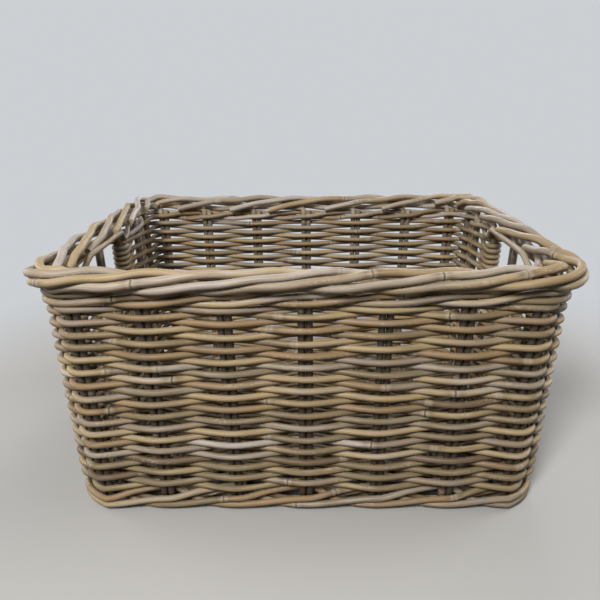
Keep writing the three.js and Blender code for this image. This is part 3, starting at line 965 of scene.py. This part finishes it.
# %% Wales
WALE_ROD_GAP = 0.00077
WALE_PASSING = 0.1
TOP_WALE_SPREAD = 0.62
HOLE_LIFT = 0.0125
WALE_SPREAD = (0.98, 1.05)
wale_step = 2 * WALE_RADIUS + WALE_ROD_GAP
base_rise = STAKE_RADIUS + BASE_WEAVER_RADIUS + CLEARANCE
inside_low = long_stake_height + base_rise + WALE_RADIUS + 2 * CLEARANCE
foot_low = long_stake_height - WALE_RADIUS
foot_levels = {
    "low": foot_low,
    "high": foot_low + wale_step,
    "going in": inside_low - WALE_PASSING * wale_step,
    "inside": inside_low,
    "coming out": foot_low - WALE_PASSING * wale_step,
}
top_half = TOP_WALE_SPREAD * 2 * WALE_RADIUS
last_row = first_row + (row_count - 1) * row_pitch
top_middle = last_row + WEAVER_RADIUS + CLEARANCE + WALE_RADIUS + top_half
top_levels = {
    "low": top_middle - top_half,
    "high": top_middle + top_half,
    "going in": top_middle + top_half,
    "inside": top_middle,
    "coming out": top_middle - top_half,
    "over hole": (top_middle + top_half, top_middle + top_half, top_middle + HOLE_LIFT),
}
for rod in range(WALE_RODS):
    for name, levels in (("bottom", foot_levels), ("top", top_levels)):
        radius = WALE_RADIUS * dice.uniform(*WALE_SPREAD)
        make_cane(f"{name}_wale_rod_{rod + 1}", wale_route(rod, levels), radius, "wale_cane")
print("wale heights in metres:", round(foot_low, 4), round(top_middle, 4))

# %% [markdown]
# ## The stakes and the rolled border
#
# Every stake is one long cane: up one wall, across the base and up the other. At one end it stops under the
# border. At the other it leans out, lies down along the rim and winds over the border for more than four
# pairs, until it is cut off on the inside. Twenty-six of these tails, five side by side at any place, make
# the thick rolled edge. On its way a tail turns almost once round an oval, with a wave of its own.

# %% Border
BORDER_STRANDS = 5
BORDER_OVERHANG = 0.0055
BORDER_START = math.radians(225)
BORDER_RUN = 4.65
BORDER_CLOSENESS = 0.88
BORDER_FLATNESS = 1.75
BORDER_WAVE = 0.0013
BORDER_WAVE_SHIFT = 2.4
TUCK_RUN = 0.9
TUCK_DROP = 0.005
TUCK_IN = 0.004
SHORT_WALL_TUCK = 0.25
border_turn = 2 * math.pi / BORDER_STRANDS
strand_spacing = (2 * STAKE_RADIUS + CLEARANCE) / BORDER_CLOSENESS
border_half_height = strand_spacing / (2 * math.sin(border_turn / 2))
border_half_width = BORDER_FLATNESS * border_half_height
wale_top = top_middle + top_half + WALE_RADIUS
border_height = wale_top + CLEARANCE + border_half_height + STAKE_RADIUS


def border_point(index, run, end_run, twist):
    angle = BORDER_START + run * border_turn + twist
    end_pair = pair_at(math.floor(index + end_run))
    on_long_wall = end_pair.wall in long_walls and end_pair.corner is None
    tuck = max(0.0, 1 - (end_run - run) / TUCK_RUN) ** 2 * (1.0 if on_long_wall else SHORT_WALL_TUCK)
    wave = BORDER_WAVE * math.sin(2 * math.pi * run + BORDER_WAVE_SHIFT * index)
    outward = BORDER_OVERHANG + (border_half_width + wave) * math.cos(angle) - TUCK_IN * tuck
    height = border_height + (border_half_height + wave) * math.sin(angle) - TUCK_DROP * tuck
    return ring_point(index + run, outward, height)


print("border height in metres:", round(border_height, 4))

# %% Tail of a stake
TAIL_START = 0.5
TAIL_STEP = 0.125
TAIL_TWIST = 0.12
TAIL_END_SPREAD = (-0.25, 0.12)
# How the stake leans into the border: along the rim, outwards and down.
TAIL_LEAN = [(0.1, 0.1, 0.26), (0.8, 0.4, 0.0)]


def border_tail(index, place):
    pair = pair_at(index)
    diameter = 2 * STAKE_RADIUS
    twist = dice.uniform(-TAIL_TWIST, TAIL_TWIST)
    first_angle = BORDER_START + TAIL_START * border_turn
    first_out = BORDER_OVERHANG + border_half_width * math.cos(first_angle)
    first_height = border_height + border_half_height * math.sin(first_angle)
    points = [wall_point(pair.wall, place, 0, wale_top - WALE_RADIUS)]
    for along, out, down in TAIL_LEAN:
        height = first_height - down * diameter
        points.append(wall_point(pair.wall, place + along * diameter, out * first_out, height))
    end_run = BORDER_RUN + dice.uniform(*TAIL_END_SPREAD)
    run = TAIL_START
    while run < end_run:
        points.append(border_point(index, run, end_run, twist))
        run += TAIL_STEP
    return points


print("pairs that a tail passes:", BORDER_RUN - TAIL_START)

# %% [markdown]
# ### Smooth bends
#
# The points of a stake lie far apart, so a curve is led through all of them. Its slope at a point weighs the
# steps before and after it by the square root of their length, so that uneven steps don't overshoot.

# %% Smooth curve through points
ROUTE_GAP = 0.004
SHORTEST_STEP = 1e-6


def span(start, end):
    return max(SHORTEST_STEP, (end - start).length) ** 0.5


def slope(before, here, after):
    first = span(before, here)
    second = span(here, after)
    return (here - before) / first - (after - before) / (first + second) + (after - here) / second


def smooth_curve(points):
    ends = [points[0] * 2 - points[1]] + points + [points[-1] * 2 - points[-2]]
    curve = []
    for before, start, end, after in zip(ends, ends[1:], ends[2:], ends[3:]):
        leave = slope(before, start, end) * span(start, end)
        arrive = slope(start, end, after) * span(start, end)
        steps = max(1, round((end - start).length / ROUTE_GAP))
        for step in range(steps):
            t = step / steps
            point = start * (2 * t**3 - 3 * t**2 + 1)
            point += leave * (t**3 - 2 * t**2 + t)
            point += end * (3 * t**2 - 2 * t**3)
            point += arrive * (t**3 - t**2)
            curve.append(point)
    return curve + [points[-1]]


print("points for each metre of stake:", round(1 / ROUTE_GAP))

# %% Stakes
BEND_RADIUS = 0.008
BEND_STEPS = 4
BEND_LEAD = 3 * BEND_RADIUS
UPRIGHT_STEPS = 8
STAKE_SPREAD = (1.0, 1.06)
BORDER_SWELL = (1.03, 1.20)
REST_WANDER = 0.0003
REST_LIFT = 0.0005


def stake_leg(index, base_height, rolls):
    pair = pair_at(index)
    shift = pair_half if rolls else -pair_half
    low = place_of(pair, long_stake_height) + shift
    points = [wall_point(pair.wall, low, -BEND_LEAD, base_height)]
    for step in range(BEND_STEPS + 1):
        angle = step / BEND_STEPS * math.pi / 2
        inward = BEND_RADIUS * (1 - math.sin(angle))
        rise = BEND_RADIUS * (1 - math.cos(angle))
        points.append(wall_point(pair.wall, low, -inward, base_height + rise))
    top = wale_top - 2 * WALE_RADIUS if rolls else wale_top
    upright = top - base_height - BEND_RADIUS
    for step in range(1, UPRIGHT_STEPS + 1):
        height = base_height + BEND_RADIUS + upright * step / UPRIGHT_STEPS
        points.append(wall_point(pair.wall, place_of(pair, height) + shift, 0, height))
    if rolls:
        points += border_tail(index, place_of(pair, top_middle) + shift)
    return points


def make_stake(node, rolled_end, plain_end, base_height, wander):
    rolled = stake_leg(rolled_end, base_height, True)
    plain = stake_leg(plain_end, base_height, False)
    route = smooth_curve(rolled[::-1] + plain)
    radius = STAKE_RADIUS * dice.uniform(*STAKE_SPREAD)
    swell = dice.uniform(*BORDER_SWELL)
    make_cane(node, route, radius, "stake_cane", wander=wander, swell=swell)


for number in range(LONG_WALL_PAIRS + 2):
    opposite = REAR_FIRST + LONG_WALL_PAIRS + 1 - number
    name = f"long_stake_{number + 1}"
    make_stake(name + "_front_rolled", number, opposite, long_stake_height, CANE_WANDER)
    make_stake(name + "_rear_rolled", opposite, number, long_stake_height, CANE_WANDER)
resting = cross_stake_height + REST_LIFT
for number in range(SHORT_WALL_PAIRS + 2):
    index = RIGHT_FIRST + number
    opposite = LEFT_FIRST + SHORT_WALL_PAIRS + 1 - number
    name = f"cross_stake_{number + 1}"
    make_stake(name + "_right_rolled", index, opposite, resting, REST_WANDER)
    make_stake(name + "_left_rolled", opposite, index, resting, REST_WANDER)
print("canes after the stakes:", len(canes))

# %% [markdown]
# ## The base
#
# The base doesn't show in the photograph, but no light comes up through it, so its rows lie close together.
# It is one thinner cane that runs to and fro across the stakes, over one pair and under the next, and leaves
# room for the stakes that cross below.

# %% Rows of the base
BASE_ROW_PITCH = 0.0052
BASE_EDGE_ROOM = 0.0015
base_columns = [pairs[index].place for index in range(LONG_WALL_PAIRS + 2)]
base_crossings = [pairs[RIGHT_FIRST + index].place for index in range(SHORT_WALL_PAIRS + 2)]
base_edges = [edge for y in base_crossings for edge in (y - 2 * pair_half, y + 2 * pair_half)]
base_edges = [BASE_EDGE_ROOM - front.distance] + base_edges + [front.distance - BASE_EDGE_ROOM]
base_rows = []
for low, high in zip(base_edges[::2], base_edges[1::2]):
    count = max(1, math.floor((high - low) / BASE_ROW_PITCH))
    base_rows += [low + (step + 0.5) * (high - low) / count for step in range(count)]
print("rows of the base:", len(base_rows))

# %% Base weaver
BASE_SAMPLES = 12
BASE_TURN_REACH = 0.011
BASE_TONE = 0.4
FULL_BASE_RADIUS = 0.0024


def base_side(row, column):
    return 1 if (row + column) % 2 == 0 else -1


def base_crossing(row, here, following):
    points = []
    for step in range(BASE_SAMPLES):
        share = step / BASE_SAMPLES
        x = base_columns[here] + (base_columns[following] - base_columns[here]) * share
        rise = base_rise * base_side(row, here) * (1 - 2 * smooth(share))
        points.append(Vector((x, base_rows[row], long_stake_height + rise)))
    return points


def base_turn(row, end, direction):
    points = []
    for step in range(WRAP_STEPS + 1):
        share = step / WRAP_STEPS
        angle = base_side(row, end) * math.pi * (0.5 - share)
        x = base_columns[end] + direction * (pair_half + BASE_TURN_REACH * math.cos(angle))
        y = base_rows[row] + (base_rows[row + 1] - base_rows[row]) * smooth(share)
        points.append(Vector((x, y, long_stake_height + base_rise * math.sin(angle))))
    return points


base_route = []
for row in range(len(base_rows)):
    direction = 1 if row % 2 == 0 else -1
    order = list(range(len(base_columns)))[::direction]
    for here, following in zip(order, order[1:]):
        base_route += base_crossing(row, here, following)
    if row + 1 < len(base_rows):
        base_route += base_turn(row, order[-1], direction)
last_height = long_stake_height + base_rise * base_side(row, order[-1])
base_route.append(Vector((base_columns[order[-1]], base_rows[row], last_height)))
make_cane("base_weaver", base_route, FULL_BASE_RADIUS, "base_cane", wander=REST_WANDER, tone=BASE_TONE)
print("canes in all:", len(canes))

# %% [markdown]
# ## Floor and light
#
# The basket stands on a plain pale floor in soft light, as in a studio. Away from the basket the floor turns
# into the even tone of the backdrop, so that no horizon shows from any side. That tone is only what the
# camera sees: it throws no light on the canes. A wide key lamp hangs in front and above and a weaker one
# overhead, to the right. Three low lamps light the sides and the rear without shining into the basket, and
# the sky is faint, so that the gaps between the canes stay dark.

# %% Floor
FLOOR_SIDE = 40.0
FLOOR_NEAR = 0.40
FLOOR_FAR = 0.75
FLOOR_ROUGHNESS = 0.9
PALE_FLOOR = (0.52, 0.515, 0.505, 1.0)
DARK_FLOOR = (0.045, 0.041, 0.037, 1.0)
BACKDROP = (0.600, 0.625, 0.650, 1.0)
BLACK = (0.0, 0.0, 0.0, 1.0)


def seen_directly(tree):
    ray = tree.nodes.new("ShaderNodeLightPath").outputs
    seen = calculate(tree, "ADD", ray["Is Camera Ray"], ray["Is Glossy Ray"])
    return calculate(tree, "ADD", seen, ray["Is Transmission Ray"], clamp=True)


def floor_finish():
    material = bpy.data.materials.new("pale_floor")
    material.use_nodes = True
    tree = material.node_tree
    shader = tree.nodes["Principled BSDF"]
    seen = seen_directly(tree)
    place = tree.nodes.new("ShaderNodeTexCoord").outputs["Object"]
    distance = add_node(tree, "ShaderNodeVectorMath", {0: place}, operation="LENGTH").outputs["Value"]
    far = ramp_between(tree, distance, FLOOR_NEAR, FLOOR_FAR)
    colour = mix_colours(tree, far, PALE_FLOOR, BLACK)
    colour = mix_colours(tree, seen, DARK_FLOOR, colour)
    glow = calculate(tree, "MULTIPLY", far, seen)
    tree.links.new(colour, shader.inputs["Base Color"])
    tree.links.new(glow, shader.inputs["Emission Strength"])
    shader.inputs["Emission Color"].default_value = BACKDROP
    shader.inputs["Roughness"].default_value = FLOOR_ROUGHNESS
    shader.inputs["Specular IOR Level"].default_value = 0.0
    return material


half = FLOOR_SIDE / 2
floor_corners = [(-half, -half, 0), (half, -half, 0), (half, half, 0), (-half, half, 0)]
floor_mesh = bpy.data.meshes.new("floor")
floor_mesh.from_pydata(floor_corners, [], [(0, 1, 2, 3)])
floor_mesh.materials.append(floor_finish())
floor = bpy.data.objects.new("floor", floor_mesh)
bpy.context.scene.collection.objects.link(floor)
print("floor side in metres:", FLOOR_SIDE)

# %% Lights
FAINT_SKY = (0.018, 0.019, 0.020, 1.0)
BASKET_MIDDLE = Vector((0, 0, 0.1))
WARM = (1.0, 0.98, 0.95)
SOFT = (1.0, 0.99, 0.97)
WHITE = (1.0, 1.0, 1.0)
# Name, place, size in metres, power in watts and colour.
LAMPS = [
    ("key", (-0.5, -1.38, 1.36), 0.5, 33, WARM),
    ("overhead", (0.6, -0.1, 1.7), 1.0, 6, SOFT),
    ("left_fill", (-1.55, 0.4, 0.6), 1.0, 8, WHITE),
    ("right_fill", (1.55, 0.4, 0.6), 1.0, 9, WHITE),
    ("rear_fill", (0.3, 1.6, 0.7), 1.0, 11, WHITE),
]
for name, place, size, power, colour in LAMPS:
    lamp_data = bpy.data.lights.new(name, "AREA")
    lamp_data.shape = "DISK"
    lamp_data.size = size
    lamp_data.energy = power
    lamp_data.color = colour
    lamp = bpy.data.objects.new(name, lamp_data)
    lamp.location = place
    lamp.rotation_mode = "QUATERNION"
    lamp.rotation_quaternion = (BASKET_MIDDLE - Vector(place)).to_track_quat("-Z", "Y")
    lamp.visible_camera = False
    bpy.context.scene.collection.objects.link(lamp)

world = bpy.data.worlds.new("soft_sky")
bpy.context.scene.world = world
world.use_nodes = True
sky_tree = world.node_tree
sky = sky_tree.nodes["Background"]
sky_colour = mix_colours(sky_tree, seen_directly(sky_tree), FAINT_SKY, BACKDROP)
sky_tree.links.new(sky_colour, sky.inputs["Color"])
sky.inputs["Strength"].default_value = 1.0
bpy.context.scene.view_settings.view_transform = "Standard"
print("lamps:", len(LAMPS))
